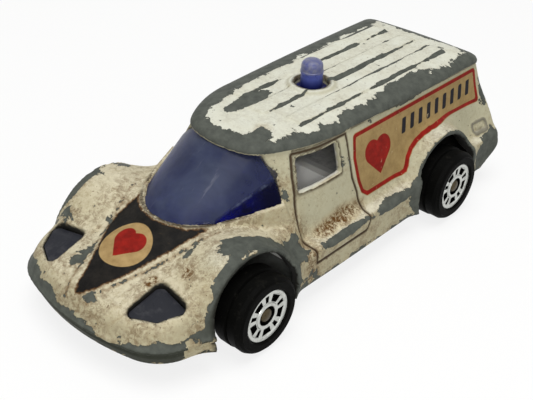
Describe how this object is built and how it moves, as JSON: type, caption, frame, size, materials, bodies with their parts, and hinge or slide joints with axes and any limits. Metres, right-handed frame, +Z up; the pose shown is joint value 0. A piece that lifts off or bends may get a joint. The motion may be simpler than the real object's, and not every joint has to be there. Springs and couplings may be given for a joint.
{
  "type": "toy ambulance",
  "caption": "Worn die-cast toy ambulance with a wedge bonnet, blue glazing, a domed roof lamp and free-running black wheels with bright hubs.",
  "frame": {"origin": "on the floor under the middle of the car's bounding box", "axes": "+Z up, the nose points along -Y, +X is the car's left side"},
  "size_m": [0.0462, 0.0978, 0.0335],
  "materials": {
    "cast_paint": "worn gloss",
    "base_metal": "satin",
    "blue_clear": "clear tint, scuffed",
    "lamp_blue": "clear tint",
    "lens_grey": "gloss",
    "pale_plastic": "matte",
    "axle_steel": "satin",
    "black_plastic": "matte",
    "bright_plate": "dulled plating"
  },
  "bodies": {
    "car": {"body_shell": "cast_paint", "base_plate": "base_metal", "screen_glazing": "blue_clear", "rear_window": "blue_clear", "roof_beacon": "lamp_blue", "headlight_lens_left": "lens_grey", "headlight_lens_right": "lens_grey", "interior_tray": "pale_plastic", "rivet_front": "axle_steel", "rivet_rear": "axle_steel"},
    "front_axle": {"front_axle": "axle_steel"},
    "rear_axle": {"rear_axle": "axle_steel"},
    "wheel_front_left": {"tyre_front_left": "black_plastic", "hub_front_left": "bright_plate"},
    "wheel_front_right": {"tyre_front_right": "black_plastic", "hub_front_right": "bright_plate"},
    "wheel_rear_left": {"tyre_rear_left": "black_plastic", "hub_rear_left": "bright_plate"},
    "wheel_rear_right": {"tyre_rear_right": "black_plastic", "hub_rear_right": "bright_plate"}
  },
  "joints": [
    {"name": "front_axle_spin", "type": "hinge", "parent": "car", "child": "front_axle", "pos_m": [0, -0.02655, 0.0072], "axis": [1, 0, 0], "continuous": true},
    {"name": "front_left_wheel_spin", "type": "hinge", "parent": "front_axle", "child": "wheel_front_left", "pos_m": [0.02, -0.02655, 0.0072], "axis": [1, 0, 0], "continuous": true},
    {"name": "front_right_wheel_spin", "type": "hinge", "parent": "front_axle", "child": "wheel_front_right", "pos_m": [-0.02, -0.02655, 0.0072], "axis": [1, 0, 0], "continuous": true},
    {"name": "rear_axle_spin", "type": "hinge", "parent": "car", "child": "rear_axle", "pos_m": [0, 0.02845, 0.0072], "axis": [1, 0, 0], "continuous": true},
    {"name": "rear_left_wheel_spin", "type": "hinge", "parent": "rear_axle", "child": "wheel_rear_left", "pos_m": [0.02, 0.02845, 0.0072], "axis": [1, 0, 0], "continuous": true},
    {"name": "rear_right_wheel_spin", "type": "hinge", "parent": "rear_axle", "child": "wheel_rear_right", "pos_m": [-0.02, 0.02845, 0.0072], "axis": [1, 0, 0], "continuous": true}
  ]
}
